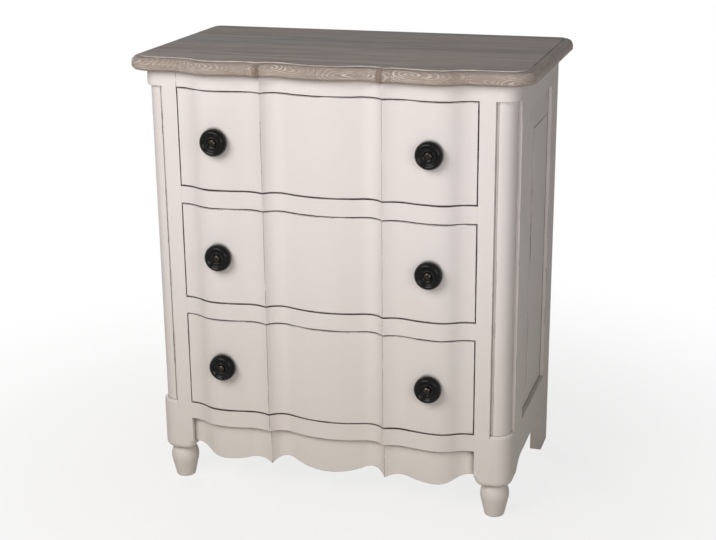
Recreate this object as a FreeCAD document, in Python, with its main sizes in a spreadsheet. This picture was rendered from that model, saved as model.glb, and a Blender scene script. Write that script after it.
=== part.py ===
import FreeCAD, Part
import math
import os
import Sketcher
from FreeCAD import Rotation, Vector

# Narrow chest of three drawers with a serpentine front, turned front feet and knobs.
# X runs to the right, Y to the back and Z up, with the floor at Z = 0.
# Places along Y are measured from the flat face of the front posts, and seat() shifts them
# so that the origin lies under the middle of the whole chest.

# Driving dimensions in millimetres: name, size, meaning.
SIZES = [
    ("opening_width", 500, "clear width between the front posts"),
    ("opening_height", 165, "clear height of each drawer opening"),
    ("post_width", 60, "front post, side to side"),
    ("post_depth", 60, "front post, front to back"),
    ("post_bottom", 59, "floor to the underside of the front posts"),
    ("post_corner", 28, "rounding of the front posts' outer corner"),
    ("post_bottom_round", 10, "rounding of the front posts' lower edges"),
    ("post_inner_run", 15, "width of the larger rounding beside the apron"),
    ("post_inner_rise", 13, "height of the larger rounding beside the apron"),
    ("body_depth", 355, "front posts' face to the back of the rear posts"),
    ("rail_underside", 122, "floor to the underside of the bottom rail"),
    ("bottom_rail_height", 29, "bottom rail, seen height"),
    ("divider_height", 28, "rails between the drawers, seen height"),
    ("top_rail_height", 26, "top rail, seen height"),
    ("rail_depth", 48, "posts' face to the back of the front rails"),
    ("tenon_length", 16, "tenons of the front rails, into the posts"),
    ("tenon_width", 14, "tenons of the front rails, front to back"),
    ("tenon_shoulder", 4, "shoulder above and below each tenon"),
    ("tenon_back", 18, "posts' face to the front of the tenons"),
    ("glue_gap", 0.1, "room for glue round tenons and spigots"),
    ("bow_centre", 19, "reach of the middle bow"),
    ("bow_hollow_inner", 5, "reach at the bottom of the inner hollow"),
    ("bow_hollow_inner_at", 74.5, "centre line to the bottom of the inner hollow"),
    ("bow_ridge", 17.8, "reach of the sharp ridge"),
    ("bow_ridge_at", 100, "centre line to the ridge"),
    ("bow_hollow_outer", 10.8, "reach at the bottom of the outer hollow"),
    ("bow_hollow_outer_at", 127, "centre line to the bottom of the outer hollow"),
    ("bow_side", 18.3, "reach of the side bows"),
    ("bow_margin", 3, "flat left between the serpentine and the posts"),
    ("top_thickness", 22, "top board"),
    ("top_lip", 1.5, "step between the flat of the top and its moulded edge"),
    ("top_mould", 15, "width of the moulded edge"),
    ("top_round", 11, "large rounding of the moulded edge"),
    ("top_under_bevel", 3.5, "bevel under the nosing"),
    ("top_overhang_side", 25, "top board beyond the body's sides"),
    ("top_overhang_front", 18, "top board beyond the front, all along the serpentine"),
    ("top_overhang_back", 11, "top board beyond the rear posts"),
    ("top_corner_front", 46, "rounding of the top's front corners in plan"),
    ("top_corner_back", 22, "rounding of the top's back corners in plan"),
    ("column_inset", 5, "column's round behind the post's faces"),
    ("column_strip", 4.5, "flat strip on each side of the column's round"),
    ("column_step", 1.5, "depth of that strip behind the round"),
    ("ledge_round", 4.5, "rounding of the ledge under the column"),
    ("foot_set", 30, "foot's centre from the post's inner and front faces"),
    ("foot_neck", 20, "radius of the turned foot at the top"),
    ("foot_neck_height", 4, "straight band at the top of the foot"),
    ("foot_shoulder", 23.2, "radius of the foot between its neck and bulb"),
    ("foot_shoulder_at", 46.5, "floor to that radius"),
    ("foot_bulb", 24.2, "largest radius of the turned foot"),
    ("foot_bulb_at", 36, "floor to the foot's largest radius"),
    ("foot_shank", 21.4, "radius of the foot between its bulb and toe"),
    ("foot_shank_at", 22.5, "floor to that radius"),
    ("foot_toe", 16.8, "radius of the foot near the floor"),
    ("foot_toe_bevel", 2, "bevel at the floor"),
    ("spigot_radius", 9, "spigot that holds the foot in the post"),
    ("spigot_length", 28, "spigot that holds the foot in the post"),
    ("frame_thickness", 20, "side frames and rear posts"),
    ("side_stile_width", 38, "front stile of the side frame"),
    ("rear_post_width", 56, "rear posts, front to back"),
    ("side_underside", 84, "floor to the lower edge of the side frames"),
    ("side_bottom_rail", 62, "lower rail of the side frame, height"),
    ("side_top_rail", 52, "upper rail of the side frame, height"),
    ("side_sweep", 15, "drop of the front stile's swept lower end"),
    ("tongue", 6, "thickness of the panels' tongues and the side rails' stubs"),
    ("tongue_length", 9, "length of the tongues and stubs"),
    ("tongue_gap", 0.2, "clearance on each side of a tongue in its groove"),
    ("tongue_end_gap", 1, "free depth behind a tongue"),
    ("bevel_width", 42, "width of the raised panels' bevels"),
    ("bevel_rise", 5, "rise of the raised panels' bevels"),
    ("field_step", 1.2, "shoulder of the raised field"),
    ("back_thickness", 6, "back panel"),
    ("back_rebate", 10, "width of the rebates that hold the back panel"),
    ("back_rail_thickness", 16, "rails in front of the back panel"),
    ("back_rail_height", 45, "rails in front of the back panel"),
    ("apron_set", 9, "apron's face behind the bottom rail's face"),
    ("apron_thickness", 22, "apron at its ends"),
    ("apron_end", 77, "floor to the apron's lower edge at the posts"),
    ("drawer_gap", 1.8, "gap round the drawer fronts"),
    ("front_thickness", 22, "drawer fronts at their ends"),
    ("front_edge_bevel", 1, "bevel of the long edges of the drawer fronts' faces"),
    ("dovetail_lap", 8, "wood left in front of the dovetails"),
    ("dovetail_count", 3, "tails on each drawer side"),
    ("dovetail_neck", 26, "tail's width at its root"),
    ("dovetail_flare", 2.5, "tail's widening on each edge"),
    ("side_thickness", 12, "drawer sides and backs"),
    ("drawer_length", 312, "posts' face to the back of the drawer sides"),
    ("drawer_side_height", 150, "height of the drawer sides"),
    ("drawer_back_drop", 12, "drawer back below the top of the drawer sides"),
    ("drawer_back_inset", 6, "drawer back in from the ends of the drawer sides"),
    ("drawer_back_housing", 3, "depth of the housings that hold the drawer backs"),
    ("runner_gap", 0.3, "drawer sides above their runners"),
    ("bottom_lift", 10, "drawer side's lower edge to its groove"),
    ("bottom_thickness", 5, "drawer bottoms"),
    ("bottom_groove", 5, "depth of the grooves for the drawer bottoms"),
    ("bottom_gap", 0.15, "clearance of the drawer bottoms in their grooves"),
    ("runner_width", 28, "runners and kickers inside the front posts' inner faces"),
    ("runner_thickness", 20, "runners and kickers"),
    ("guide_height", 14, "guides beside the drawers"),
    ("guide_width", 12, "guides beside the drawers"),
    ("stop_height", 6, "drawer stops"),
    ("stop_width", 30, "drawer stops, side to side"),
    ("stop_depth", 16, "drawer stops, front to back"),
    ("stop_at", 150, "centre line to the middle of the drawer stops"),
    ("stop_gap", 0.3, "drawer front's back to its stops"),
    ("knob_from_post", 72, "front posts' inner faces to the knobs' centres"),
    ("knob_sink", 1.6, "knob's seat behind the side bow's crest"),
    ("knob_seat_rim", 1, "seat beyond the knob's neck"),
    ("knob_neck", 11, "radius of the knob's neck"),
    ("knob_neck_length", 3, "length of the knob's neck"),
    ("knob_flare", 20.5, "radius of the knob's back"),
    ("knob_flare_at", 4, "knob's seat to that radius"),
    ("knob_radius", 22.5, "largest radius of the knobs"),
    ("knob_wall_at", 6.6, "knob's seat to the start of its straight wall"),
    ("knob_wall", 4.4, "length of the straight wall"),
    ("knob_shoulder", 21.7, "radius of the knob in front of its wall"),
    ("knob_shoulder_at", 15.2, "knob's seat to that radius"),
    ("knob_reach", 18.6, "knob's seat to the crest of its rim"),
    ("knob_crest", 16.8, "inner radius of the rim's crest"),
    ("knob_crest_width", 2.4, "width of the rim's crest"),
    ("knob_dish", 13.5, "radius of the dished middle"),
    ("knob_dish_depth", 3, "dished middle behind the rim"),
    ("bolt_radius", 2, "knob bolt's shank"),
    ("bolt_gap", 0.25, "clearance round the bolt's shank"),
    ("bolt_head", 6, "radius of the bolt's head"),
    ("bolt_head_edge", 0.8, "height of the head's straight edge"),
    ("bolt_crown", 3.4, "radius of the head's flat crown"),
    ("bolt_crown_rise", 1.6, "crown in front of the head's straight edge"),
    ("washer_radius", 6.5, "washer inside the drawer"),
    ("washer_thickness", 1.2, "washer inside the drawer"),
    ("nut_radius", 4, "half of the nut's width across corners"),
    ("nut_height", 3.2, "nut inside the drawer"),
    ("bolt_tail", 1.5, "bolt's end beyond its nut"),
]

# Lengths that follow from the driving dimensions: name, formula.
# The serpentine is a chain of arcs. A hollow's arc runs level at its lowest point and ends on
# the ridge, and the arc of the bow beside it meets it smoothly and runs level at its crest.
LAYOUT = [
    ("half_opening", "Sizes.opening_width / 2"),
    ("half_body", "Plan.half_opening + Sizes.post_width"),
    ("opening_bottom", "Sizes.rail_underside + Sizes.bottom_rail_height"),
    ("opening_middle", "Plan.opening_bottom + Sizes.opening_height + Sizes.divider_height"),
    ("opening_top", "Plan.opening_middle + Sizes.opening_height + Sizes.divider_height"),
    ("top_rail_underside", "Plan.opening_top + Sizes.opening_height"),
    ("body_top", "Plan.top_rail_underside + Sizes.top_rail_height"),
    ("top_front", "Sizes.top_overhang_front + Sizes.bow_centre"),
    ("top_back", "Sizes.body_depth + Sizes.top_overhang_back"),
    ("top_half", "Plan.half_body + Sizes.top_overhang_side"),
    ("knob_at", "Plan.half_opening - Sizes.knob_from_post"),
    ("knob_seat", "Sizes.bow_side - Sizes.knob_sink"),
    ("reach", "max(Plan.top_front; Plan.knob_seat + Sizes.knob_reach)"),
    ("post_face", "(Plan.reach - Plan.top_back) / 2"),
    ("bow_end", "Plan.half_opening - Sizes.bow_margin"),
    ("ridge_rise_inner", "Sizes.bow_ridge - Sizes.bow_hollow_inner"),
    ("ridge_run_inner", "Sizes.bow_ridge_at - Sizes.bow_hollow_inner_at"),
    ("cove_inner", "(Plan.ridge_run_inner^2 / Plan.ridge_rise_inner + Plan.ridge_rise_inner) / 2"),
    ("ridge_rise_outer", "Sizes.bow_ridge - Sizes.bow_hollow_outer"),
    ("ridge_run_outer", "Sizes.bow_hollow_outer_at - Sizes.bow_ridge_at"),
    ("cove_outer", "(Plan.ridge_run_outer^2 / Plan.ridge_rise_outer + Plan.ridge_rise_outer) / 2"),
    ("slope_inner", "(Sizes.bow_centre - Sizes.bow_hollow_inner) / Sizes.bow_hollow_inner_at"),
    ("sine_inner", "2 * Plan.slope_inner / (1 + Plan.slope_inner^2)"),
    ("crest_centre", "Sizes.bow_hollow_inner_at / Plan.sine_inner - Plan.cove_inner"),
    ("turn_inner_at", "Sizes.bow_hollow_inner_at - Plan.cove_inner * Plan.sine_inner"),
    ("turn_inner", "Sizes.bow_hollow_inner + Plan.cove_inner * Plan.sine_inner * Plan.slope_inner"),
    ("side_at", "(Sizes.bow_hollow_outer_at + Plan.bow_end) / 2"),
    ("side_run", "Plan.side_at - Sizes.bow_hollow_outer_at"),
    ("slope_outer", "(Sizes.bow_side - Sizes.bow_hollow_outer) / Plan.side_run"),
    ("sine_outer", "2 * Plan.slope_outer / (1 + Plan.slope_outer^2)"),
    ("crest_side", "Plan.side_run / Plan.sine_outer - Plan.cove_outer"),
    ("turn_outer_at", "Sizes.bow_hollow_outer_at + Plan.cove_outer * Plan.sine_outer"),
    ("turn_outer", "Sizes.bow_hollow_outer + Plan.cove_outer * Plan.sine_outer * Plan.slope_outer"),
    ("end_radius", "((Plan.bow_end - Plan.side_at)^2 / Sizes.bow_side + Sizes.bow_side) / 4"),
    ("end_turn_at", "(Plan.side_at + Plan.bow_end) / 2"),
    ("end_turn", "Sizes.bow_side / 2"),
    ("foot_at", "Plan.half_opening + Sizes.foot_set"),
    ("column_inner", "Plan.foot_at - Sizes.column_strip"),
    ("column_back", "Sizes.foot_set + Sizes.column_strip"),
    ("column_round", "Sizes.foot_set - Sizes.column_inset"),
    ("column_height", "Plan.top_rail_underside - Plan.opening_bottom"),
    ("frame_inside", "Plan.half_body - Sizes.frame_thickness"),
    ("tongue_inside", "Plan.half_body - (Sizes.frame_thickness + Sizes.tongue) / 2"),
    ("stile_back", "Sizes.post_depth + Sizes.side_stile_width"),
    ("rear_post_front", "Sizes.body_depth - Sizes.rear_post_width"),
    ("panel_bottom", "Sizes.side_underside + Sizes.side_bottom_rail"),
    ("panel_top", "Plan.body_top - Sizes.side_top_rail"),
    ("back_face", "Sizes.body_depth - Sizes.back_thickness"),
    ("back_rail_face", "Plan.back_face - Sizes.back_rail_thickness"),
    ("half_front", "Plan.half_opening - Sizes.drawer_gap"),
    ("drawer_inside", "Plan.half_front - Sizes.side_thickness"),
    ("drawer_side_top", "Sizes.runner_gap + Sizes.drawer_side_height"),
    ("slot_bottom", "Sizes.runner_gap + Sizes.bottom_lift"),
    ("slot_top", "Plan.slot_bottom + Sizes.bottom_thickness + 2 * Sizes.bottom_gap"),
    ("drawer_back_end", "Sizes.drawer_length - Sizes.drawer_back_inset"),
    ("knob_height", "Sizes.opening_height / 2"),
]

# The way an arc turns when its outline is followed.
LEFT = 1
RIGHT = -1

# Right half of the serpentine from the middle outwards: place, reach, and the radius and
# turn of the arc that goes on to the next corner.
BOW = [
    ("Plan.turn_inner_at", "Plan.turn_inner", "Plan.cove_inner", RIGHT),
    ("Sizes.bow_ridge_at", "Sizes.bow_ridge", "Plan.cove_outer", RIGHT),
    ("Plan.turn_outer_at", "Plan.turn_outer", "Plan.crest_side", LEFT),
    ("Plan.side_at", "Sizes.bow_side", "Plan.end_radius", LEFT),
    ("Plan.end_turn_at", "Plan.end_turn", "Plan.end_radius", RIGHT),
    ("Plan.bow_end", "0", None, LEFT),
]

# Front rails: name, lower edge, upper edge.
RAILS = [
    ("bottom_front_rail", "Sizes.rail_underside", "Plan.opening_bottom"),
    ("lower_divider_rail", "Plan.opening_middle - Sizes.divider_height", "Plan.opening_middle"),
    ("upper_divider_rail", "Plan.opening_top - Sizes.divider_height", "Plan.opening_top"),
    ("top_front_rail", "Plan.top_rail_underside", "Plan.body_top"),
]

# Drawers and their runners: drawer, runner, bottom of the opening.
LEVELS = [
    ("bottom", "lower", "Plan.opening_bottom"),
    ("middle", "middle", "Plan.opening_middle"),
    ("top", "upper", "Plan.opening_top"),
]

doc = FreeCAD.newDocument("chest_of_drawers")
sheet = doc.addObject("Spreadsheet::Sheet", "Sizes")
plan = doc.addObject("App::VarSet", "Plan")
pieces = []


def write_sizes():
    """Fill the sheet with the driving dimensions and the plan with what follows from them."""
    for row, (name, size, meaning) in enumerate(SIZES, start=1):
        sheet.set(f"A{row}", meaning)
        sheet.set(f"B{row}", str(size))
        sheet.setAlias(f"B{row}", name)
    doc.recompute()
    for name, formula in LAYOUT:
        plan.addProperty("App::PropertyFloat", name, "Layout", "")
        plan.setExpression(name, formula)
        doc.recompute()


def value(formula):
    """The number that a formula of sizes gives."""
    return float(sheet.evalExpression(formula))


def keep(piece, label):
    """Label a finished piece and put it on the list of pieces."""
    piece.Label = label
    pieces.append(piece)


def seat(piece, x="0", y="0", z="0"):
    """Place a piece, with y measured from the posts' face."""
    piece.setExpression("Placement.Base.x", x)
    piece.setExpression("Placement.Base.y", f"{y} + Plan.post_face")
    piece.setExpression("Placement.Base.z", z)


def block(name, x, y, z):
    """A box between pairs of formulas along X, Y and Z."""
    box = doc.addObject("Part::Box", name)
    for side, (low, high) in zip(("Length", "Width", "Height"), (x, y, z)):
        box.setExpression(side, f"({high}) - ({low})")
    seat(box, x[0], y[0], z[0])
    return box


def rod(name, radius, x, y, z):
    """A cylinder along Y between the pair of formulas y."""
    cylinder = doc.addObject("Part::Cylinder", name)
    cylinder.setExpression("Radius", radius)
    cylinder.setExpression("Height", f"({y[1]}) - ({y[0]})")
    cylinder.Placement.Rotation = Rotation(Vector(1, 0, 0), -90)
    seat(cylinder, x, y[0], z)
    return cylinder


def fuse(name, shapes):
    """One solid from several that touch."""
    union = doc.addObject("Part::MultiFuse", name)
    union.Shapes = shapes
    union.Refine = True
    return union


def cut(name, base, tools):
    """Base without the space that the tools take."""
    result = doc.addObject("Part::Cut", name)
    result.Base = base
    result.Tool = tools[0] if len(tools) == 1 else fuse(f"{name}_tools", tools)
    return result


def mirror(name, source):
    """The same piece on the other side of the middle plane."""
    twin = doc.addObject("Part::Mirroring", name)
    twin.Source = source
    twin.Normal = Vector(1, 0, 0)
    return twin


def keep_pair(stem, right):
    """Keep a right-hand piece and its mirror image."""
    keep(right, f"{stem}_right")
    keep(mirror(f"{stem}_left", right), f"{stem}_left")


def mirrored(x):
    """A pair of formulas along X on the other side of the middle plane."""
    return (f"-({x[1]})", f"-({x[0]})")


def stretch(first, last, radius, turn):
    """A line, or an arc of under half a circle, from first to last."""
    if radius is None:
        return Part.LineSegment(first, last)
    size = value(radius)
    chord = last - first
    sideways = Vector(-chord.y, chord.x, 0) / chord.Length
    centre = (first + last) / 2 + sideways * turn * math.sqrt(size**2 - chord.Length**2 / 4)
    start, end = (first, last) if turn == LEFT else (last, first)
    start_angle = math.atan2(start.y - centre.y, start.x - centre.x)
    end_angle = math.atan2(end.y - centre.y, end.x - centre.x)
    if end_angle < start_angle:
        end_angle += 2 * math.pi
    return Part.ArcOfCircle(Part.Circle(centre, Vector(0, 0, 1), size), start_angle, end_angle)


def tie(sketch, kind, index, end, formula):
    """Hold one coordinate of a stretch's end at a formula, on either side of the origin."""
    if formula == "0":
        axis = -2 if kind == "DistanceX" else -1
        sketch.addConstraint(Sketcher.Constraint("PointOnObject", index, end, axis))
        return
    size = value(formula)
    if size < 0:
        number = sketch.addConstraint(Sketcher.Constraint(kind, index, end, -1, 1, -size))
        sketch.setExpression(f"Constraints[{number}]", f"-({formula})")
    else:
        number = sketch.addConstraint(Sketcher.Constraint(kind, index, end, size))
        sketch.setExpression(f"Constraints[{number}]", formula)


def draw(body, role, corners):
    """A closed outline on one of the body's planes, with every corner tied to its sizes.

    A corner is (x, y), or (x, y, radius, turn) where an arc goes on to the next corner.
    """
    sketch = body.newObject("Sketcher::SketchObject", f"{body.Name}_outline")
    plane = next(item for item in body.Origin.OriginFeatures if item.Role == role)
    sketch.AttachmentSupport = [(plane, "")]
    sketch.MapMode = "FlatFace"
    corners = [corner if len(corner) == 4 else (*corner, None, LEFT) for corner in corners]
    points = [Vector(value(x), value(y), 0) for x, y, _, _ in corners]
    lines = []
    for number, (_, _, radius, turn) in enumerate(corners):
        line = stretch(points[number], points[(number + 1) % len(points)], radius, turn)
        lines.append(sketch.addGeometry(line))
    for number, (x, y, radius, turn) in enumerate(corners):
        start, end = (1, 2) if turn == LEFT else (2, 1)
        before = number - 1
        end_before = 2 if corners[before][3] == LEFT else 1
        meeting = Sketcher.Constraint("Coincident", lines[before], end_before, lines[number], start)
        sketch.addConstraint(meeting)
        tie(sketch, "DistanceX", lines[number], start, x)
        tie(sketch, "DistanceY", lines[number], start, y)
        if radius is not None:
            size = Sketcher.Constraint("Radius", lines[number], value(radius))
            sketch.setExpression(f"Constraints[{sketch.addConstraint(size)}]", radius)
    return sketch


def pad(name, role, corners, length):
    """A body with one outline padded to a length."""
    body = doc.addObject("PartDesign::Body", name)
    sketch = draw(body, role, corners)
    feature = body.newObject("PartDesign::Pad", f"{name}_pad")
    feature.Profile = sketch
    feature.setExpression("Length", length)
    doc.recompute()
    return body


def turned(name, role, corners):
    """A body turned about the vertical axis of its outline."""
    body = doc.addObject("PartDesign::Body", name)
    sketch = draw(body, role, corners)
    feature = body.newObject("PartDesign::Revolution", f"{name}_turning")
    feature.Profile = sketch
    feature.ReferenceAxis = (sketch, ["V_Axis"])
    feature.Angle = 360
    doc.recompute()
    return body


def dress(body, kind, size, chosen):
    """Round or bevel those edges of a body that the test chosen picks."""
    base = body.Tip
    names = [f"Edge{n}" for n, edge in enumerate(base.Shape.Edges, start=1) if chosen(edge)]
    feature = body.newObject(f"PartDesign::{kind}", f"{body.Name}_{kind.lower()}")
    feature.Base = (base, names)
    feature.setExpression("Radius" if kind == "Fillet" else "Size", size)
    doc.recompute()


def level(edge, z):
    """True for an edge that lies flat at the height z."""
    box = edge.BoundBox
    return abs(box.ZMin - z) < 0.01 and abs(box.ZMax - z) < 0.01


def serpentine(face):
    """Corners of the serpentine from left to right, in front of the line at face."""
    arcs = [("Plan.crest_centre", LEFT)] + [corner[2:] for corner in BOW[:-1]]
    left = [(f"-{at}", f"{face} - {reach}", *arc) for (at, reach, _, _), arc in zip(BOW, arcs)]
    right = [(at, f"{face} - {reach}", radius, turn) for at, reach, radius, turn in BOW]
    return left[::-1] + right


def serpentine_board(name, half, face, back, height):
    """An upright board with a serpentine face and a flat back."""
    corners = [(f"-{half}", face), *serpentine(face), (half, face), (half, back), (f"-{half}", back)]
    return pad(name, "XY_Plane", corners, height)


def make_top_board():
    """Top board: the front serpentine carried forward, round corners and a moulded edge."""
    front = "-Sizes.top_overhang_front"
    side = "Plan.top_half"
    back = "Plan.top_back"
    corner = "Sizes.top_corner_front"
    rear = "Sizes.top_corner_back"
    corners = [
        (f"{corner} - {side}", front),
        *serpentine(front),
        (f"{side} - {corner}", front, corner, LEFT),
        (side, f"{front} + {corner}"),
        (side, f"{back} - {rear}", rear, LEFT),
        (f"{side} - {rear}", back),
        (f"{rear} - {side}", back, rear, LEFT),
        (f"-{side}", f"{back} - {rear}"),
        (f"-{side}", f"{front} + {corner}", corner, LEFT),
    ]
    board = pad("top_board_slab", "XY_Plane", corners, "Sizes.top_thickness - Sizes.top_lip")
    upper = value("Sizes.top_thickness - Sizes.top_lip")
    dress(board, "Fillet", "Sizes.top_round", lambda edge: level(edge, upper))
    dress(board, "Chamfer", "Sizes.top_under_bevel", lambda edge: level(edge, 0))
    seat(board, z="Plan.body_top")
    inset = doc.addObject("Part::Offset2D", "top_board_inset")
    inset.Source = board.Group[0]
    inset.setExpression("Value", "-Sizes.top_mould")
    inset.Join = "Intersection"
    flat = doc.addObject("Part::Extrusion", "top_board_flat")
    flat.Base = inset
    flat.DirMode = "Custom"
    flat.Dir = Vector(0, 0, 1)
    flat.setExpression("LengthFwd", "Sizes.top_thickness")
    flat.Solid = True
    seat(flat, z="Plan.body_top")
    keep(fuse("top_board", [board, flat]), "top_board")


def tenon(name, x, low, high, gap):
    """A rail's tenon, or with a gap the mortise for it."""
    y = "Sizes.tenon_back"
    return block(
        name,
        x,
        (f"{y} - {gap}", f"{y} + Sizes.tenon_width + {gap}"),
        (f"{low} + Sizes.tenon_shoulder - {gap}", f"{high} - Sizes.tenon_shoulder + {gap}"),
    )


def make_rails():
    """Front rails with a tenon at each end; returns the mortises for the right-hand post."""
    mortises = []
    x = ("Plan.half_opening", "Plan.half_opening + Sizes.tenon_length")
    hole = ("Plan.half_opening", "Plan.half_opening + Sizes.tenon_length + Sizes.glue_gap")
    for name, low, high in RAILS:
        height = f"{high} - ({low})"
        board = serpentine_board(f"{name}_board", "Plan.half_opening", "0", "Sizes.rail_depth", height)
        seat(board, z=low)
        ends = [tenon(f"{name}_tenon", side, low, high, "0") for side in (x, mirrored(x))]
        keep(fuse(name, [board, *ends]), name)
        mortises.append(tenon(f"{name}_mortise", hole, low, high, "Sizes.glue_gap"))
    return mortises


def make_front_posts(mortises):
    """Front posts: a round outer corner, and a rebate for the quarter column above a rounded ledge."""
    inner = "Plan.half_opening"
    outer = "Plan.half_body"
    corner = "Sizes.post_corner"
    corners = [
        (inner, "0"),
        (f"{outer} - {corner}", "0", corner, LEFT),
        (outer, corner),
        (outer, "Sizes.post_depth"),
        (inner, "Sizes.post_depth"),
    ]
    post = pad("front_post_stock", "XY_Plane", corners, "Plan.body_top - Sizes.post_bottom")
    rebate = draw(post, "XY_Plane", [
        ("Plan.column_inner", "-Sizes.post_corner"),
        (f"{outer} + {corner}", "-Sizes.post_corner"),
        (f"{outer} + {corner}", "Plan.column_back"),
        ("Plan.column_inner", "Plan.column_back"),
    ])
    rebate.setExpression("AttachmentOffset.Base.z", "Plan.top_rail_underside - Sizes.post_bottom")
    pocket = post.newObject("PartDesign::Pocket", "front_post_rebate")
    pocket.Profile = rebate
    pocket.setExpression("Length", "Plan.column_height")
    doc.recompute()
    ledge = value("Plan.opening_bottom - Sizes.post_bottom")
    inner_face = value("Plan.column_inner") + 0.01
    back_face = value("Plan.column_back") - 0.01

    def on_ledge(edge):
        middle = edge.CenterOfMass
        return level(edge, ledge) and middle.x > inner_face and middle.y < back_face

    dress(post, "Fillet", "Sizes.ledge_round", on_ledge)
    run = "Sizes.post_inner_run"
    rise = "Sizes.post_inner_rise"
    corner_piece = draw(post, "XZ_Plane", [
        (f"{inner} + {run}", "0", f"({run}^2 / {rise} + {rise}) / 2", RIGHT),
        (inner, rise),
        (f"{inner} - {rise}", rise),
        (f"{inner} - {rise}", f"-{rise}"),
        (f"{inner} + {run}", f"-{rise}"),
    ])
    inner_round = post.newObject("PartDesign::Pocket", "front_post_inner_round")
    inner_round.Profile = corner_piece
    inner_round.Midplane = True
    inner_round.setExpression("Length", "4 * Sizes.post_depth")
    doc.recompute()
    flat = value(f"{inner} + {run}") + 0.01

    def under_post(edge):
        return level(edge, 0) and edge.CenterOfMass.x > flat

    dress(post, "Fillet", "Sizes.post_bottom_round", under_post)
    seat(post, z="Sizes.post_bottom")
    socket = doc.addObject("Part::Cylinder", "front_post_socket")
    socket.setExpression("Radius", "Sizes.spigot_radius + Sizes.glue_gap")
    socket.setExpression("Height", "Sizes.spigot_length + Sizes.glue_gap")
    seat(socket, "Plan.foot_at", "Sizes.foot_set", "Sizes.post_bottom")
    keep_pair("front_post", cut("front_post_right", post, [socket, *mortises]))


def make_quarter_columns():
    """Quarter columns: a quarter round between two narrow strips, let into the posts' rebates."""
    inset = "Sizes.column_inset"
    strip = f"{inset} + Sizes.column_step"
    column = pad("quarter_column_right", "XY_Plane", [
        ("Plan.column_inner", strip),
        ("Plan.foot_at", strip),
        ("Plan.foot_at", inset, "Plan.column_round", LEFT),
        (f"Plan.half_body - {inset}", "Sizes.foot_set"),
        (f"Plan.half_body - ({strip})", "Sizes.foot_set"),
        (f"Plan.half_body - ({strip})", "Plan.column_back"),
        ("Plan.column_inner", "Plan.column_back"),
    ], "Plan.column_height")
    seat(column, z="Plan.opening_bottom")
    keep_pair("quarter_column", column)


def make_front_feet():
    """Turned front feet: toe, bulb and neck, with a spigot up into the post."""
    top = "Sizes.post_bottom"
    foot = turned("front_foot_right", "XZ_Plane", [
        ("0", "0"),
        ("Sizes.foot_toe - Sizes.foot_toe_bevel", "0"),
        ("Sizes.foot_toe", "Sizes.foot_toe_bevel"),
        ("Sizes.foot_shank", "Sizes.foot_shank_at"),
        ("Sizes.foot_bulb", "Sizes.foot_bulb_at"),
        ("Sizes.foot_shoulder", "Sizes.foot_shoulder_at"),
        ("Sizes.foot_neck", f"{top} - Sizes.foot_neck_height"),
        ("Sizes.foot_neck", top),
        ("Sizes.spigot_radius", top),
        ("Sizes.spigot_radius", f"{top} + Sizes.spigot_length"),
        ("0", f"{top} + Sizes.spigot_length"),
    ])
    seat(foot, "Plan.foot_at", "Sizes.foot_set")
    keep_pair("front_foot", foot)


def make_apron():
    """Apron: the serpentine in plan, set back, and again as the scallop of its lower edge."""
    back = "Sizes.apron_set + Sizes.apron_thickness"
    low = "Sizes.apron_end - Sizes.bow_centre"
    curved = serpentine_board(
        "front_apron_curved", "Plan.half_opening", "Sizes.apron_set", back,
        f"Sizes.rail_underside - ({low})",
    )
    seat(curved, z=low)
    scallop = pad("front_apron_scallop", "XZ_Plane", [
        ("-Plan.half_opening", "Sizes.apron_end"),
        *serpentine("Sizes.apron_end"),
        ("Plan.half_opening", "Sizes.apron_end"),
        ("Plan.half_opening", "Sizes.rail_underside"),
        ("-Plan.half_opening", "Sizes.rail_underside"),
    ], "Sizes.apron_thickness + Sizes.bow_centre")
    seat(scallop, y=back)
    apron = doc.addObject("Part::Common", "front_apron")
    apron.Base = curved
    apron.Tool = scallop
    keep(apron, "front_apron")


def groove(name, y, z):
    """The groove for the side panel's tongues and the side rails' stubs, on the right."""
    x = (
        "Plan.tongue_inside - Sizes.tongue_gap",
        "Plan.tongue_inside + Sizes.tongue + Sizes.tongue_gap",
    )
    return block(name, x, y, z)


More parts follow.
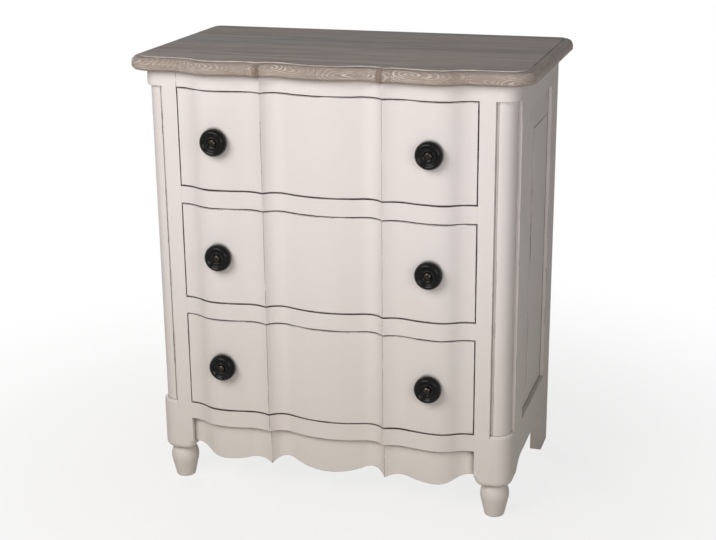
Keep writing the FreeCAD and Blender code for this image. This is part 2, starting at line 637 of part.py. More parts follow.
def make_side_frames():
    """Side frames: a stile with a swept lower end, two rails with stubs, and a raised panel."""
    outside = ("Plan.frame_inside", "Plan.half_body")
    tongue = ("Plan.tongue_inside", "Plan.tongue_inside + Sizes.tongue")
    depth = "Sizes.tongue_length + Sizes.tongue_end_gap"
    front = "Plan.stile_back"
    back = "Plan.rear_post_front"
    upright = ("Sizes.side_underside", "Plan.body_top")

    sweep = "(Sizes.side_stile_width^2 / Sizes.side_sweep + Sizes.side_sweep) / 2"
    stile = pad("side_stile_stock", "YZ_Plane", [
        ("Sizes.post_depth", "Sizes.side_underside - Sizes.side_sweep", sweep, RIGHT),
        (front, "Sizes.side_underside"),
        (front, "Plan.body_top"),
        ("Sizes.post_depth", "Plan.body_top"),
    ], "Sizes.frame_thickness")
    seat(stile, "Plan.frame_inside")
    stile_groove = groove("side_stile_groove", (f"{front} - ({depth})", front), upright)
    keep_pair("side_front_stile", cut("side_front_stile_right", stile, [stile_groove]))

    rails = {
        "side_bottom_rail": ("Sizes.side_underside", "Plan.panel_bottom"),
        "side_top_rail": ("Plan.panel_top", "Plan.body_top"),
    }
    edges = {
        "side_bottom_rail": (f"Plan.panel_bottom - ({depth})", "Plan.panel_bottom"),
        "side_top_rail": ("Plan.panel_top", f"Plan.panel_top + {depth}"),
    }
    stubs_y = (f"{front} - Sizes.tongue_length", f"{back} + Sizes.tongue_length")
    for stem, z in rails.items():
        board = block(f"{stem}_board", outside, (front, back), z)
        stubs = block(f"{stem}_stubs", tongue, stubs_y, z)
        whole = fuse(f"{stem}_whole", [board, stubs])
        keep_pair(stem, cut(f"{stem}_right", whole, [groove(f"{stem}_groove", stubs_y, edges[stem])]))

    sheet_z = ("Plan.panel_bottom - Sizes.tongue_length", "Plan.panel_top + Sizes.tongue_length")
    base = block("side_panel_tongues", tongue, stubs_y, sheet_z)
    bevel = doc.addObject("Part::Wedge", "side_panel_bevel")
    limits = {
        "X": ("0", f"{back} - ({front})"),
        "Z": ("0", "Plan.panel_top - Plan.panel_bottom"),
    }
    for axis, (low, high) in limits.items():
        bevel.setExpression(f"{axis}min", low)
        bevel.setExpression(f"{axis}max", high)
        bevel.setExpression(f"{axis}2min", f"{low} + Sizes.bevel_width")
        bevel.setExpression(f"{axis}2max", f"{high} - Sizes.bevel_width")
    bevel.Ymin = 0
    bevel.setExpression("Ymax", "Sizes.bevel_rise")
    bevel.Placement.Rotation = Rotation(Vector(0, 0, 1), -90)
    seat(bevel, tongue[1], back, "Plan.panel_bottom")
    field = block(
        "side_panel_field",
        (tongue[1], f"{tongue[1]} + Sizes.bevel_rise + Sizes.field_step"),
        (f"{front} + Sizes.bevel_width", f"{back} - Sizes.bevel_width"),
        ("Plan.panel_bottom + Sizes.bevel_width", "Plan.panel_top - Sizes.bevel_width"),
    )
    keep_pair("side_panel", fuse("side_panel_right", [base, bevel, field]))


def make_back():
    """Rear posts grooved and rebated, and the back panel in front of which two rails run."""
    upright = ("Sizes.side_underside", "Plan.body_top")
    depth = "Sizes.tongue_length + Sizes.tongue_end_gap"
    front = "Plan.rear_post_front"
    outside = ("Plan.frame_inside", "Plan.half_body")
    post = block("rear_post_stock", outside, (front, "Sizes.body_depth"), ("0", "Plan.body_top"))
    slot = groove("rear_post_groove", (front, f"{front} + {depth}"), upright)
    rebate = block(
        "rear_post_rebate",
        ("Plan.frame_inside", "Plan.frame_inside + Sizes.back_rebate"),
        ("Plan.back_face", "Sizes.body_depth"),
        upright,
    )
    keep_pair("rear_post", cut("rear_post_right", post, [slot, rebate]))
    edge = "Plan.frame_inside + Sizes.back_rebate"
    keep(block("back_panel", (f"-({edge})", edge), ("Plan.back_face", "Sizes.body_depth"), upright),
         "back_panel")
    rails = {
        "back_top_rail": ("Plan.body_top - Sizes.back_rail_height", "Plan.body_top"),
        "back_bottom_rail": ("Sizes.side_underside", "Sizes.side_underside + Sizes.back_rail_height"),
    }
    for name, z in rails.items():
        x = ("-Plan.frame_inside", "Plan.frame_inside")
        keep(block(name, x, ("Plan.back_rail_face", "Plan.back_face"), z), name)


def ledge_board(name, z):
    """A board beside the drawer, from the front rail to the back and out to the side frame."""
    inner = ("Plan.half_opening - Sizes.runner_width", "Plan.half_opening")
    outer = ("Plan.half_opening", "Plan.frame_inside")
    return [
        block(f"{name}_inner", inner, ("Sizes.rail_depth", "Plan.back_rail_face"), z),
        block(f"{name}_outer", outer, ("Sizes.post_depth", "Plan.back_rail_face"), z),
    ]


def make_runners():
    """Runners level with the rails, each with a guide beside the drawer, and the kickers."""
    for _, level_name, floor in LEVELS:
        name = f"{level_name}_runner"
        boards = ledge_board(name, (f"{floor} - Sizes.runner_thickness", floor))
        guide = block(
            f"{name}_guide",
            ("Plan.half_opening", "Plan.half_opening + Sizes.guide_width"),
            ("Sizes.post_depth", "Plan.back_rail_face"),
            (floor, f"{floor} + Sizes.guide_height"),
        )
        keep_pair(name, fuse(f"{name}_right", [*boards, guide]))
    under = "Plan.top_rail_underside"
    kicker = ledge_board("kicker", (under, f"{under} + Sizes.runner_thickness"))
    keep_pair("kicker", fuse("kicker_right", kicker))


def make_stops():
    """Two stops on the rail under each drawer, behind its front."""
    half = "Sizes.stop_width / 2"
    x = (f"Sizes.stop_at - {half}", f"Sizes.stop_at + {half}")
    face = "Sizes.front_thickness + Sizes.stop_gap"
    blocks = []
    for drawer, _, floor in LEVELS:
        for side in (x, mirrored(x)):
            stop = block(f"{drawer}_stop", side, (face, f"{face} + Sizes.stop_depth"),
                         (floor, f"{floor} + Sizes.stop_height"))
            blocks.append(stop)
    stops = doc.addObject("Part::Compound", "drawer_stops")
    stops.Links = blocks
    keep(stops, "drawer_stops")


def make_drawer_side():
    """Right drawer side in the rough, with dovetails at its front end."""
    lap = "Sizes.dovetail_lap"
    root = "Sizes.front_thickness"
    neck = "Sizes.dovetail_neck / 2"
    corners = [
        (root, "Plan.drawer_side_top"),
        ("Sizes.drawer_length", "Plan.drawer_side_top"),
        ("Sizes.drawer_length", "Sizes.runner_gap"),
        (root, "Sizes.runner_gap"),
    ][::-1]
    tails = []
    for number in range(int(value("Sizes.dovetail_count"))):
        middle = f"Sizes.runner_gap + Sizes.drawer_side_height * {number + 0.5} / Sizes.dovetail_count"
        tails += [
            (root, f"{middle} - {neck}"),
            (lap, f"{middle} - {neck} - Sizes.dovetail_flare"),
            (lap, f"{middle} + {neck} + Sizes.dovetail_flare"),
            (root, f"{middle} + {neck}"),
        ]
    outline = corners + tails[::-1]
    side = pad("drawer_side_stock", "YZ_Plane", outline, "Sizes.side_thickness")
    seat(side, "Plan.drawer_inside")
    return side


def make_drawer_front(side, slot):
    """Drawer front: the serpentine, bevelled edges, sockets for the tails and seats for the knobs."""
    height = "Sizes.opening_height - 2 * Sizes.drawer_gap"
    front = serpentine_board("drawer_front_stock", "Plan.half_front", "0", "Sizes.front_thickness", height)
    behind = value("Sizes.front_thickness")

    def on_face(edge):
        return edge.BoundBox.YMax < behind / 2

    dress(front, "Chamfer", "Sizes.front_edge_bevel", lambda edge: on_face(edge) and (
        level(edge, 0) or level(edge, value(height))))
    seat(front, z="Sizes.drawer_gap")
    tools = [side, mirror("drawer_side_stock_left", side), slot]
    for hand, x in (("right", "Plan.knob_at"), ("left", "-Plan.knob_at")):
        seat_y = ("-Plan.reach", "-Plan.knob_seat")
        bore_y = ("-Plan.reach", "Sizes.front_thickness")
        rim = "Sizes.knob_neck + Sizes.knob_seat_rim"
        tools.append(rod(f"knob_seat_{hand}", rim, x, seat_y, "Plan.knob_height"))
        bore = "Sizes.bolt_radius + Sizes.bolt_gap"
        tools.append(rod(f"knob_bore_{hand}", bore, x, bore_y, "Plan.knob_height"))
    return cut("drawer_front", front, tools)


def make_knob():
    """Right turned knob: neck, flared back, wall, shouldered rim and dished middle, with a bore."""
    bore = "Sizes.bolt_radius + Sizes.bolt_gap"
    dish_floor = "Sizes.knob_dish_depth - Sizes.knob_reach"
    knob = turned("drawer_knob", "XY_Plane", [
        (bore, "0"),
        (bore, dish_floor),
        ("Sizes.knob_dish", dish_floor),
        ("Sizes.knob_crest", "-Sizes.knob_reach"),
        ("Sizes.knob_crest + Sizes.knob_crest_width", "-Sizes.knob_reach"),
        ("Sizes.knob_shoulder", "-Sizes.knob_shoulder_at"),
        ("Sizes.knob_radius", "-(Sizes.knob_wall_at + Sizes.knob_wall)"),
        ("Sizes.knob_radius", "-Sizes.knob_wall_at"),
        ("Sizes.knob_flare", "-Sizes.knob_flare_at"),
        ("Sizes.knob_neck", "-Sizes.knob_neck_length"),
        ("Sizes.knob_neck", "0"),
    ])
    seat(knob, "Plan.knob_at", "-Plan.knob_seat", "Plan.knob_height")
    return knob


def make_knob_bolt():
    """Right knob bolt: crowned head in the dish, shank, and washer and nut inside the drawer."""
    under_head = "Sizes.knob_dish_depth - Sizes.knob_reach"
    inside = "Plan.knob_seat + Sizes.front_thickness"
    nut = f"{inside} + Sizes.washer_thickness"
    tail = f"{nut} + Sizes.nut_height + Sizes.bolt_tail"
    edge = f"{under_head} - Sizes.bolt_head_edge"
    crown = f"{edge} - Sizes.bolt_crown_rise"
    screw = turned("knob_bolt_shank", "XY_Plane", [
        ("0", tail),
        ("0", crown),
        ("Sizes.bolt_crown", crown),
        ("Sizes.bolt_head", edge),
        ("Sizes.bolt_head", under_head),
        ("Sizes.bolt_radius", under_head),
        ("Sizes.bolt_radius", inside),
        ("Sizes.washer_radius", inside),
        ("Sizes.washer_radius", nut),
        ("Sizes.bolt_radius", nut),
        ("Sizes.bolt_radius", tail),
    ])
    seat(screw, "Plan.knob_at", "-Plan.knob_seat", "Plan.knob_height")
    hexagon = doc.addObject("Part::Prism", "knob_bolt_nut")
    hexagon.Polygon = 6
    hexagon.setExpression("Circumradius", "Sizes.nut_radius")
    hexagon.setExpression("Height", "Sizes.nut_height")
    hexagon.Placement.Rotation = Rotation(Vector(1, 0, 0), -90)
    seat(hexagon, "Plan.knob_at", f"{nut} - Plan.knob_seat", "Plan.knob_height")
    return fuse("knob_bolt", [screw, hexagon])


def make_drawers():
    """Three alike drawers: one set of pieces, copied to each opening."""
    groove_end = "Plan.drawer_inside + Sizes.bottom_groove"
    groove_front = "Sizes.front_thickness - Sizes.bottom_groove"
    slot = block("drawer_slot", (f"-({groove_end})", groove_end), (groove_front, "Sizes.drawer_length"),
                 ("Plan.slot_bottom", "Plan.slot_top"))
    gap = "Sizes.bottom_gap"
    board = block(
        "drawer_bottom",
        (f"{gap} - ({groove_end})", f"{groove_end} - {gap}"),
        (f"{groove_front} + {gap}", "Sizes.drawer_length"),
        (f"Plan.slot_bottom + {gap}", f"Plan.slot_top - {gap}"),
    )
    housing = "Plan.drawer_inside + Sizes.drawer_back_housing"
    back = block(
        "drawer_back",
        (f"-({housing})", housing),
        ("Plan.drawer_back_end - Sizes.side_thickness", "Plan.drawer_back_end"),
        ("Plan.slot_top", "Plan.drawer_side_top - Sizes.drawer_back_drop"),
    )
    stock = make_drawer_side()
    side = cut("drawer_side", stock, [slot, back])
    knob = make_knob()
    bolt = make_knob_bolt()
    bolts = doc.addObject("Part::Compound", "drawer_knob_bolts")
    bolts.Links = [bolt, mirror("knob_bolt_left", bolt)]
    sources = {
        "front": make_drawer_front(stock, slot),
        "side_right": side,
        "side_left": mirror("drawer_side_left", side),
        "back": back,
        "bottom": board,
        "knob_right": knob,
        "knob_left": mirror("drawer_knob_left", knob),
        "knob_bolts": bolts,
    }
    for drawer, _, floor in LEVELS:
        for part, source in sources.items():
            name = f"{drawer}_drawer_{part}"
            copy = doc.addObject("Part::Compound", name)
            copy.Links = [source]
            copy.setExpression("Placement.Base.z", floor)
            keep(copy, name)


def check():
    """Stop if anything in the document failed or a piece has no sound solid."""
    for item in doc.Objects:
        if "Invalid" in item.State or "Error" in item.State:
            raise RuntimeError(f"{item.Name} failed: {item.State}")
    for piece in pieces:
        if piece.Shape.isNull() or not piece.Shape.isValid() or not piece.Shape.Solids:
            raise RuntimeError(f"{piece.Label} has no sound solid")


def main():
    write_sizes()
    make_top_board()
    make_front_posts(make_rails())
    make_quarter_columns()
    make_front_feet()
    make_apron()
    make_side_frames()
    make_back()
    make_runners()
    make_stops()
    make_drawers()
    doc.recompute()
    check()
    os.makedirs("parts", exist_ok=True)
    for piece in pieces:
        piece.Shape.exportStep(f"parts/{piece.Label}.step")


main()
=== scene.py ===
from math import cos, pi, radians, sin

import bmesh
import bpy
from bpy.props import FloatProperty, FloatVectorProperty, IntProperty, PointerProperty
from mathutils import Matrix, Vector


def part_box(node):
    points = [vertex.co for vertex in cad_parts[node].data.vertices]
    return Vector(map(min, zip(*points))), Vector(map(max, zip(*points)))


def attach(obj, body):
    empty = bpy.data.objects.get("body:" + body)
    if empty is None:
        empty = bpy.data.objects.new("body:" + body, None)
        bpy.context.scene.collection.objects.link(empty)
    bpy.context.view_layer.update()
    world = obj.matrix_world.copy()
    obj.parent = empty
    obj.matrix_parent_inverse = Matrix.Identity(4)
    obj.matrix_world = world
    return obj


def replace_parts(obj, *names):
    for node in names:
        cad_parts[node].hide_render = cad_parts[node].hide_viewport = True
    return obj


bl_info = {
    "name": "Serpentine chest of drawers",
    "version": (1, 0, 0),
    "blender": (4, 5, 0),
    "location": "View3D > Sidebar > Chest",
    "description": "Paint, weathered planks, turned knobs and feet, and a studio for a chest",
    "category": "Object",
}

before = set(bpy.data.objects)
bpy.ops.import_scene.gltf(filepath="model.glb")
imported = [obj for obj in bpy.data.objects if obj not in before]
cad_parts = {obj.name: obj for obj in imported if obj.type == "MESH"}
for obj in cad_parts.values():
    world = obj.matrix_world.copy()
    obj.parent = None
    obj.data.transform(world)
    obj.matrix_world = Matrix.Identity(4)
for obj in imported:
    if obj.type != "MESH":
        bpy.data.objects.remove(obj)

SIDES = ("left", "right")
LEVELS = ("top", "middle", "bottom")

# Where a face starts to count as looking one way, and where it fully does, as a cosine
LEANING = 0.6
SQUARE = 0.7


# Settings that a user would change


def colour(name, description, default):
    return FloatVectorProperty(
        name=name,
        description=description,
        default=default,
        min=0,
        max=1,
        subtype="COLOR",
    )


def length(name, description, default):
    return FloatProperty(
        name=name, description=description, default=default, min=0, unit="LENGTH"
    )


def share(name, description, default):
    return FloatProperty(
        name=name, description=description, default=default, min=0, max=1, subtype="FACTOR"
    )


def angle(name, description, default):
    return FloatProperty(
        name=name,
        description=description,
        default=radians(default),
        subtype="ANGLE",
        unit="ROTATION",
    )


def number(name, description, default):
    return FloatProperty(name=name, description=description, default=default)


def power(name, description, default):
    return FloatProperty(name=name, description=description, default=default, unit="POWER")


def position(name, description, default):
    return FloatVectorProperty(
        name=name, description=description, default=default, subtype="TRANSLATION", unit="LENGTH"
    )


def flats(name, description, default):
    return IntProperty(name=name, description=description, default=default, min=24)


class PaintSettings(bpy.types.PropertyGroup):
    cream: colour("Cream", "Colour of the sound paint", (0.79, 0.735, 0.72))
    rosy: colour("Rosy", "Colour the paint drifts to in wide soft patches", (0.765, 0.706, 0.682))
    # Painted shade: the cream turns darker and warmer towards the floor.
    shaded: colour("Aged", "Warmer cream the paint has aged to near the floor", (0.7, 0.65, 0.607))
    shade_from: length("Aged from", "Height below which the paint starts to look aged", 0.55)
    # This dark brown also darkens inner corners and grooves as painted shade.
    glaze_and_shade: colour("Glaze", "Dark brown that shows along rubbed edges", (0.06, 0.04, 0.033))
    gloss_spread: share("Gloss spread", "Roughness of the sound paint", 0.55)
    worn_spread: share("Worn spread", "Roughness where the paint is rubbed", 0.75)
    gloss: share("Gloss", "Strength of the eggshell paint's gloss", 0.08)
    brush_share: share("Brush share", "How much the brush marks tint the paint", 0.07)
    brush_depth: length("Brush depth", "Depth of the brush marks", 0.00012)
    rub_width: length("Rub width", "How far from an edge the paint is rubbed", 0.0014)
    rub_share: share("Rub share", "How much of the edges' length is rubbed through", 0.5)
    front_rub_share: share("Front rub share", "The same on drawer fronts and apron", 0.95)
    # Painted shade: inner corners, grooves and gaps are darkened with that dark brown.
    shade_and_glaze_width: length("Crevice width", "How far the glaze stands out of inner corners", 0.006)
    shade_and_glaze_share: share("Crevice share", "Strength of the glaze in inner corners", 0.25)
    front_shade_and_glaze_share: share("Front crevice share", "The same on rails, apron and fronts", 0.9)
    groove_shade_and_glaze_width: length("Groove width", "Reach of the glaze by columns and panels", 0.0025)
    groove_shade_and_glaze_share: share("Groove share", "Strength of the glaze by columns and panels", 0.7)
    # Painted shadow on the apron under the bottom rail, with glazing.
    apron_shade_and_glaze_width: length("Apron crevice width", "Reach of the glaze under the rail", 0.015)


class PlankSettings(bpy.types.PropertyGroup):
    plank_width: length("Plank width", "Width of one board of the top", 0.083)
    block_length: length("Block length", "Length of one glued block of the edge", 0.118)
    grey: colour("Grey", "Weathered grey of the planks", (0.23, 0.24, 0.25))
    brown: colour("Brown", "Brown that shows between the grey", (0.325, 0.262, 0.232))
    dark: colour("Dark", "Open pores, joints and darker streaks", (0.152, 0.127, 0.112))
    silver: colour("Silver", "Palest streaks of the planks", (0.455, 0.443, 0.43))
    # Painted highlight with rubbing: a pale line along the rim's step and outer edges.
    lip_highlight_and_rub: colour("Lip", "Pale line where the step along the rim is rubbed", (0.62, 0.57, 0.52))
    lip_height: length("Lip height", "Height of the step along the rim", 0.0015)
    edge_brown: colour("Edge brown", "Ground colour of the moulded edge", (0.32, 0.256, 0.219))
    edge_pale: colour("Edge pale", "Pale growth rings on the edge", (0.61, 0.55, 0.5))
    ring_gap: length("Ring gap", "Distance between growth rings on the edge", 0.0019)
    filler: colour("Filler", "Darker wood let in where the serpentine breaks", (0.2, 0.125, 0.085))
    filler_at: length("Filler place", "Centre line to the middle of the darker wood", 0.1)
    filler_width: length("Filler width", "Width of the darker wood", 0.012)
    rub_width: length("Rub width", "How far from an edge the wood is rubbed pale", 0.0012)
    grain_depth: length("Grain depth", "Depth of the open grain", 0.0003)
    gloss: share("Gloss", "Strength of the dry wood's gloss", 0.15)
    smoothest: share("Smoothest", "Roughness between the fibres", 0.5)
    roughest: share("Roughest", "Roughness along the fibres", 0.68)


class BareWoodSettings(bpy.types.PropertyGroup):
    pale: colour("Pale", "Early wood of the unpainted boards", (0.63, 0.5, 0.355))
    dark: colour("Dark", "Late wood of the unpainted boards", (0.45, 0.315, 0.2))
    ring_gap: length("Ring gap", "Distance between growth rings", 0.0045)
    grain_depth: length("Grain depth", "Depth of the sanded grain", 0.00015)
    smoothest: share("Smoothest", "Roughness between the fibres", 0.55)
    roughest: share("Roughest", "Roughness along the fibres", 0.7)
    # Painted shade with a dusting darkens the bare wood's inner corners.
    shade_and_dust_width: length("Dust width", "How far dust stands out of inner corners", 0.008)
    shade_and_dust_share: share("Dust share", "How much dust darkens inner corners", 0.4)
    heart_aside: length("Heart aside", "Middle of the chest to the log's heart", 0.31)
    heart_below: length("Heart below", "The same at right angles to that", 0.12)


class KnobSettings(bpy.types.PropertyGroup):
    black: colour("Black", "Lacquer of the knobs", (0.0035, 0.003, 0.0028))
    gloss: share("Gloss", "Strength of the lacquer's gloss", 0.15)
    smoothest: share("Smoothest", "Least roughness of the lacquer", 0.05)
    roughest: share("Roughest", "Most roughness of the lacquer", 0.12)
    speck_depth: length("Speck depth", "Depth of the lacquer's fine specks", 0.00006)
    rubbed: colour("Rubbed", "Brown that shows where fingers wear the rim", (0.04, 0.03, 0.023))
    rub_width: length("Rub width", "How far from an edge the lacquer is worn", 0.0015)
    metal: colour("Metal", "Blackened steel of the bolts", (0.04, 0.034, 0.029))
    tarnish: share("Tarnish", "Brightness of tarnished steel against that", 0.35)
    metal_smoothest: share("Metal smoothest", "Least roughness of the steel", 0.14)
    metal_roughest: share("Metal roughest", "Most roughness of the steel", 0.34)
    pit_depth: length("Pit depth", "Depth of the steel's pits", 0.00008)
    neck: length("Neck", "Radius of the knob's neck", 0.011)
    neck_length: length("Neck length", "Seat to the end of the straight neck", 0.0025)
    widest_at: length("Widest at", "Seat to the knob's widest place", 0.0085)
    dish_depth: length("Dish depth", "Dished middle behind the rim", 0.003)
    ring: length("Ring", "Radius of the bead round the bolt's head", 0.0088)
    bead: length("Bead", "Half the thickness of that bead", 0.0009)
    well_depth: length("Well depth", "Depth of the flat middle inside the bead", 0.0006)
    steps: flats("Steps", "Flats round one knob", 72)


class FootSettings(bpy.types.PropertyGroup):
    toe: length("Toe", "Radius near the floor", 0.0168)
    toe_round: length("Toe round", "Rounding at the floor", 0.0025)
    shank: length("Shank", "Radius between toe and bulb", 0.0214)
    shank_at: length("Shank height", "Floor to that radius", 0.0225)
    bulb: length("Bulb", "Largest radius", 0.0241)
    bulb_at: length("Bulb height", "Floor to the largest radius", 0.036)
    shoulder: length("Shoulder", "Radius between bulb and neck", 0.0231)
    shoulder_at: length("Shoulder height", "Floor to that radius", 0.0465)
    neck: length("Neck", "Radius under the post", 0.0192)
    neck_height: length("Neck height", "Straight band under the post", 0.004)
    steps: flats("Steps", "Flats round one foot", 96)


class CameraSettings(bpy.types.PropertyGroup):
    place: position("Place", "The lens, with Y from the posts' face", (0.7078, -2.0844, 1.1155))
    turn: angle("Turn", "How far round to the object's right the camera stands", 17.48)
    tilt: angle("Tilt", "How far the camera looks down", 18.03)
    roll: angle("Roll", "How far the camera leans round its own line of sight", -0.61)
    focal: number("Focal length", "For a 36 mm wide sensor, in millimetres", 71.5)
    aside: number("Aside", "Shift of the lens sideways", 0.0025)
    above: number("Above", "Shift of the lens upwards", 0.0109)


class StudioSettings(bpy.types.PropertyGroup):
    around: number("Around", "Strength of the light that comes from all round", 0.035)
    warmth: colour("Warmth", "Colour of the light that comes from all round", (1, 0.93, 0.85))
    aim: position("Aim", "Where all lamps point", (0, -0.1, 0.5))
    key_power: power("Key power", "Power of the lamp above in front", 27)
    key_place: position("Key place", "Middle of the lamp above in front", (-0.58, -1.6, 1.5))
    key_width: length("Key width", "Width of the lamp above in front", 1.1)
    fill_power: power("Fill power", "Power of the lamp to the right", 12)
    fill_place: position("Fill place", "Middle of the lamp to the right", (1.2, -1.6, 0.95))
    fill_width: length("Fill width", "Width of the lamp to the right", 0.9)
    back_power: power("Back power", "Power of the lamp behind", 22)
    back_place: position("Back place", "Middle of the lamp behind", (-1.2, 1.5, 0.42))
    back_width: length("Back width", "Width of the lamp behind", 0.6)
    floor_reach: length("Floor reach", "Radius of the floor", 14)
    floor_cream: colour("Floor cream", "Colour of the pale floor", (0.55, 0.5, 0.45))
    floor_speck: colour("Floor speck", "Colour of the floor's faint specks", (0.5, 0.5, 0.5))
    fade_from: length("Fade from", "Distance at which the floor starts to fade", 0.3)
    fade_to: length("Fade to", "Distance from which the floor is plain white", 1.2)
    near_white: share("Near white", "How white the floor is beside the object", 0.8)


# Short words for building a material


class Finish:
    """A material, with short words for adding its nodes and joining them."""

    def __init__(self, name):
        self.material = bpy.data.materials.new(name)
        self.material.use_nodes = True
        self.tree = self.material.node_tree
        self.surface = self.tree.nodes["Principled BSDF"]
        coordinates = self.add("TexCoord")
        self.place = coordinates.outputs["Object"]
        self.facing = coordinates.outputs["Normal"]

    def add(self, kind, **choices):
        node = self.tree.nodes.new("ShaderNode" + kind)
        for name, choice in choices.items():
            setattr(node, name, choice)
        return node

    def feed(self, socket, source):
        """Join a socket to another one, or give it a plain number or colour."""
        if isinstance(source, bpy.types.NodeSocket):
            self.tree.links.new(source, socket)
        elif socket.type == "RGBA":
            socket.default_value = (*source, 1)
        else:
            socket.default_value = source

    def math(self, operation, *terms):
        node = self.add("Math", operation=operation)
        for socket, term in zip(node.inputs, terms):
            self.feed(socket, term)
        return node.outputs[0]

    def plus(self, first, second):
        return self.math("ADD", first, second)

    def minus(self, first, second):
        return self.math("SUBTRACT", first, second)

    def times(self, first, second):
        return self.math("MULTIPLY", first, second)

    def absolute(self, term):
        return self.math("ABSOLUTE", term)

    def parts(self, vector):
        node = self.add("SeparateXYZ")
        self.feed(node.inputs[0], vector)
        return node.outputs

    def far_from_axis(self, first, second):
        """Distance from an axis that two lengths at right angles are measured from."""
        squares = self.plus(self.math("POWER", first, 2), self.math("POWER", second, 2))
        return self.math("SQRT", squares)

    def vector(self, *terms):
        node = self.add("CombineXYZ")
        for socket, term in zip(node.inputs, terms):
            self.feed(socket, term)
        return node.outputs[0]

    def noise(self, per_metre, detail=3, roughness=0.5, distortion=0, place=None):
        """Soft random patches, with a number of them per metre along X, Y and Z."""
        scaled = self.add("VectorMath", operation="MULTIPLY")
        self.feed(scaled.inputs[0], self.place if place is None else place)
        scaled.inputs[1].default_value = per_metre
        node = self.add("TexNoise")
        for name, source in (
            ("Vector", scaled.outputs[0]),
            ("Scale", 1),
            ("Detail", detail),
            ("Roughness", roughness),
            ("Distortion", distortion),
        ):
            self.feed(node.inputs[name], source)
        return node.outputs["Fac"]

    def pick(self, whole):
        """A random share that stays the same for each whole number."""
        node = self.add("TexWhiteNoise", noise_dimensions="1D")
        self.feed(node.inputs["W"], whole)
        return node.outputs["Value"]

    def step(self, source, start, full, at_start=0, at_full=1):
        """A soft step from one level to another while the source goes from start to full."""
        node = self.add("MapRange", interpolation_type="SMOOTHSTEP")
        for name, term in (
            ("Value", source),
            ("From Min", start),
            ("From Max", full),
            ("To Min", at_start),
            ("To Max", at_full),
        ):
            self.feed(node.inputs[name], term)
        return node.outputs[0]

    def blend(self, share_of_second, first, second, how="MIX"):
        node = self.add("Mix", data_type="RGBA", blend_type=how)
        for slot, source in ((0, share_of_second), (6, first), (7, second)):
            self.feed(node.inputs[slot], source)
        return node.outputs[2]

    def eased(self, width):
        """The way the surface would face if its edges were rounded."""
        rounded = self.add("Bevel", samples=4)
        rounded.inputs["Radius"].default_value = width
        return rounded.outputs[0]

    def edges(self, width, untouched=0.995, full=0.9):
        """How near an edge or corner the surface is, from 0 to 1."""
        true = self.add("NewGeometry").outputs["Normal"]
        compared = self.add("VectorMath", operation="DOT_PRODUCT")
        self.feed(compared.inputs[0], self.eased(width))
        self.feed(compared.inputs[1], true)
        return self.step(compared.outputs["Value"], untouched, full)

    def crevice_shade(self, width, untouched=0.86, full=0.45):
        """How deep in an inner corner or a narrow gap the surface is, from 0 to 1, by ambient
        occlusion, for painting shade there.
        """
        open_share = self.add("AmbientOcclusion", samples=6)
        open_share.inputs["Distance"].default_value = width
        return self.step(open_share.outputs["AO"], untouched, full)

    def relief(self, height, depth, strength, eased_by=0.0006):
        """Bumps on a surface whose edges are also eased a little."""
        node = self.add("Bump")
        for name, source in (
            ("Normal", self.eased(eased_by)),
            ("Strength", strength),
            ("Distance", depth),
            ("Height", height),
        ):
            self.feed(node.inputs[name], source)
        self.feed(self.surface.inputs["Normal"], node.outputs[0])

    def set(self, **sockets):
        for name, source in sockets.items():
            label = name.replace("_", " ").title().replace("Ior", "IOR")
            self.feed(self.surface.inputs[label], source)


def lengthwise(along, run, across):
    """Patches per metre along the grain and across it, in the order X, Y and Z."""
    per_metre = [across] * 3
    per_metre["XYZ".index(along)] = run
    return per_metre


# Materials


def growth(finish, settings, along):
    """Colour, roughness and height of sanded pale wood whose rings run along one axis."""
    waviness = 0.05
    ring_flatness = 0.6
    x, y, z = finish.parts(finish.place)
    across = {"X": (y, z), "Y": (x, z), "Z": (x, y)}[along]
    aside = finish.plus(across[0], settings.heart_aside)
    below = finish.math("MULTIPLY_ADD", across[1], ring_flatness, settings.heart_below)
    warp = finish.noise(lengthwise(along, 2.2, 14))
    out = finish.math("MULTIPLY_ADD", warp, waviness, finish.far_from_axis(aside, below))
    ring = finish.math("FRACT", finish.math("DIVIDE", out, settings.ring_gap))
    late = finish.step(ring, 0.35, 0.95)
    tone = finish.blend(finish.times(late, 0.55), settings.pale, settings.dark)
    fibre = finish.noise(lengthwise(along, 12, 900), detail=4, roughness=0.65)
    coloured = finish.blend(finish.step(fibre, 0.4, 0.8, at_full=0.35), tone, settings.dark)
    rough = finish.step(fibre, 0.3, 0.7, at_start=settings.smoothest, at_full=settings.roughest)
    return coloured, rough, finish.minus(fibre, finish.times(late, 0.3))


def bare_wood(settings, name, along):
    """Sanded pale wood with growth rings that run along one axis, with painted shade and a dusting
    in inner corners.
    """
    finish = Finish(name)
    coloured, rough, height = growth(finish, settings, along)
    # Painted shade with a dusting: inner corners are darkened by ambient occlusion.
    corner_shade_and_dust = finish.times(finish.crevice_shade(settings.shade_and_dust_width), settings.shade_and_dust_share)
    shaded_and_dusty = finish.blend(corner_shade_and_dust, coloured, settings.dark, "MULTIPLY")
    finish.set(base_color=shaded_and_dusty, roughness=rough)
    finish.relief(height, settings.grain_depth, strength=0.6)
    return finish.material


def behind_front(finish):
    """1 on backs of front pieces, which the paint doesn't reach, else 0."""
    backward = finish.parts(finish.facing)[1]
    return finish.step(backward, LEANING, SQUARE)


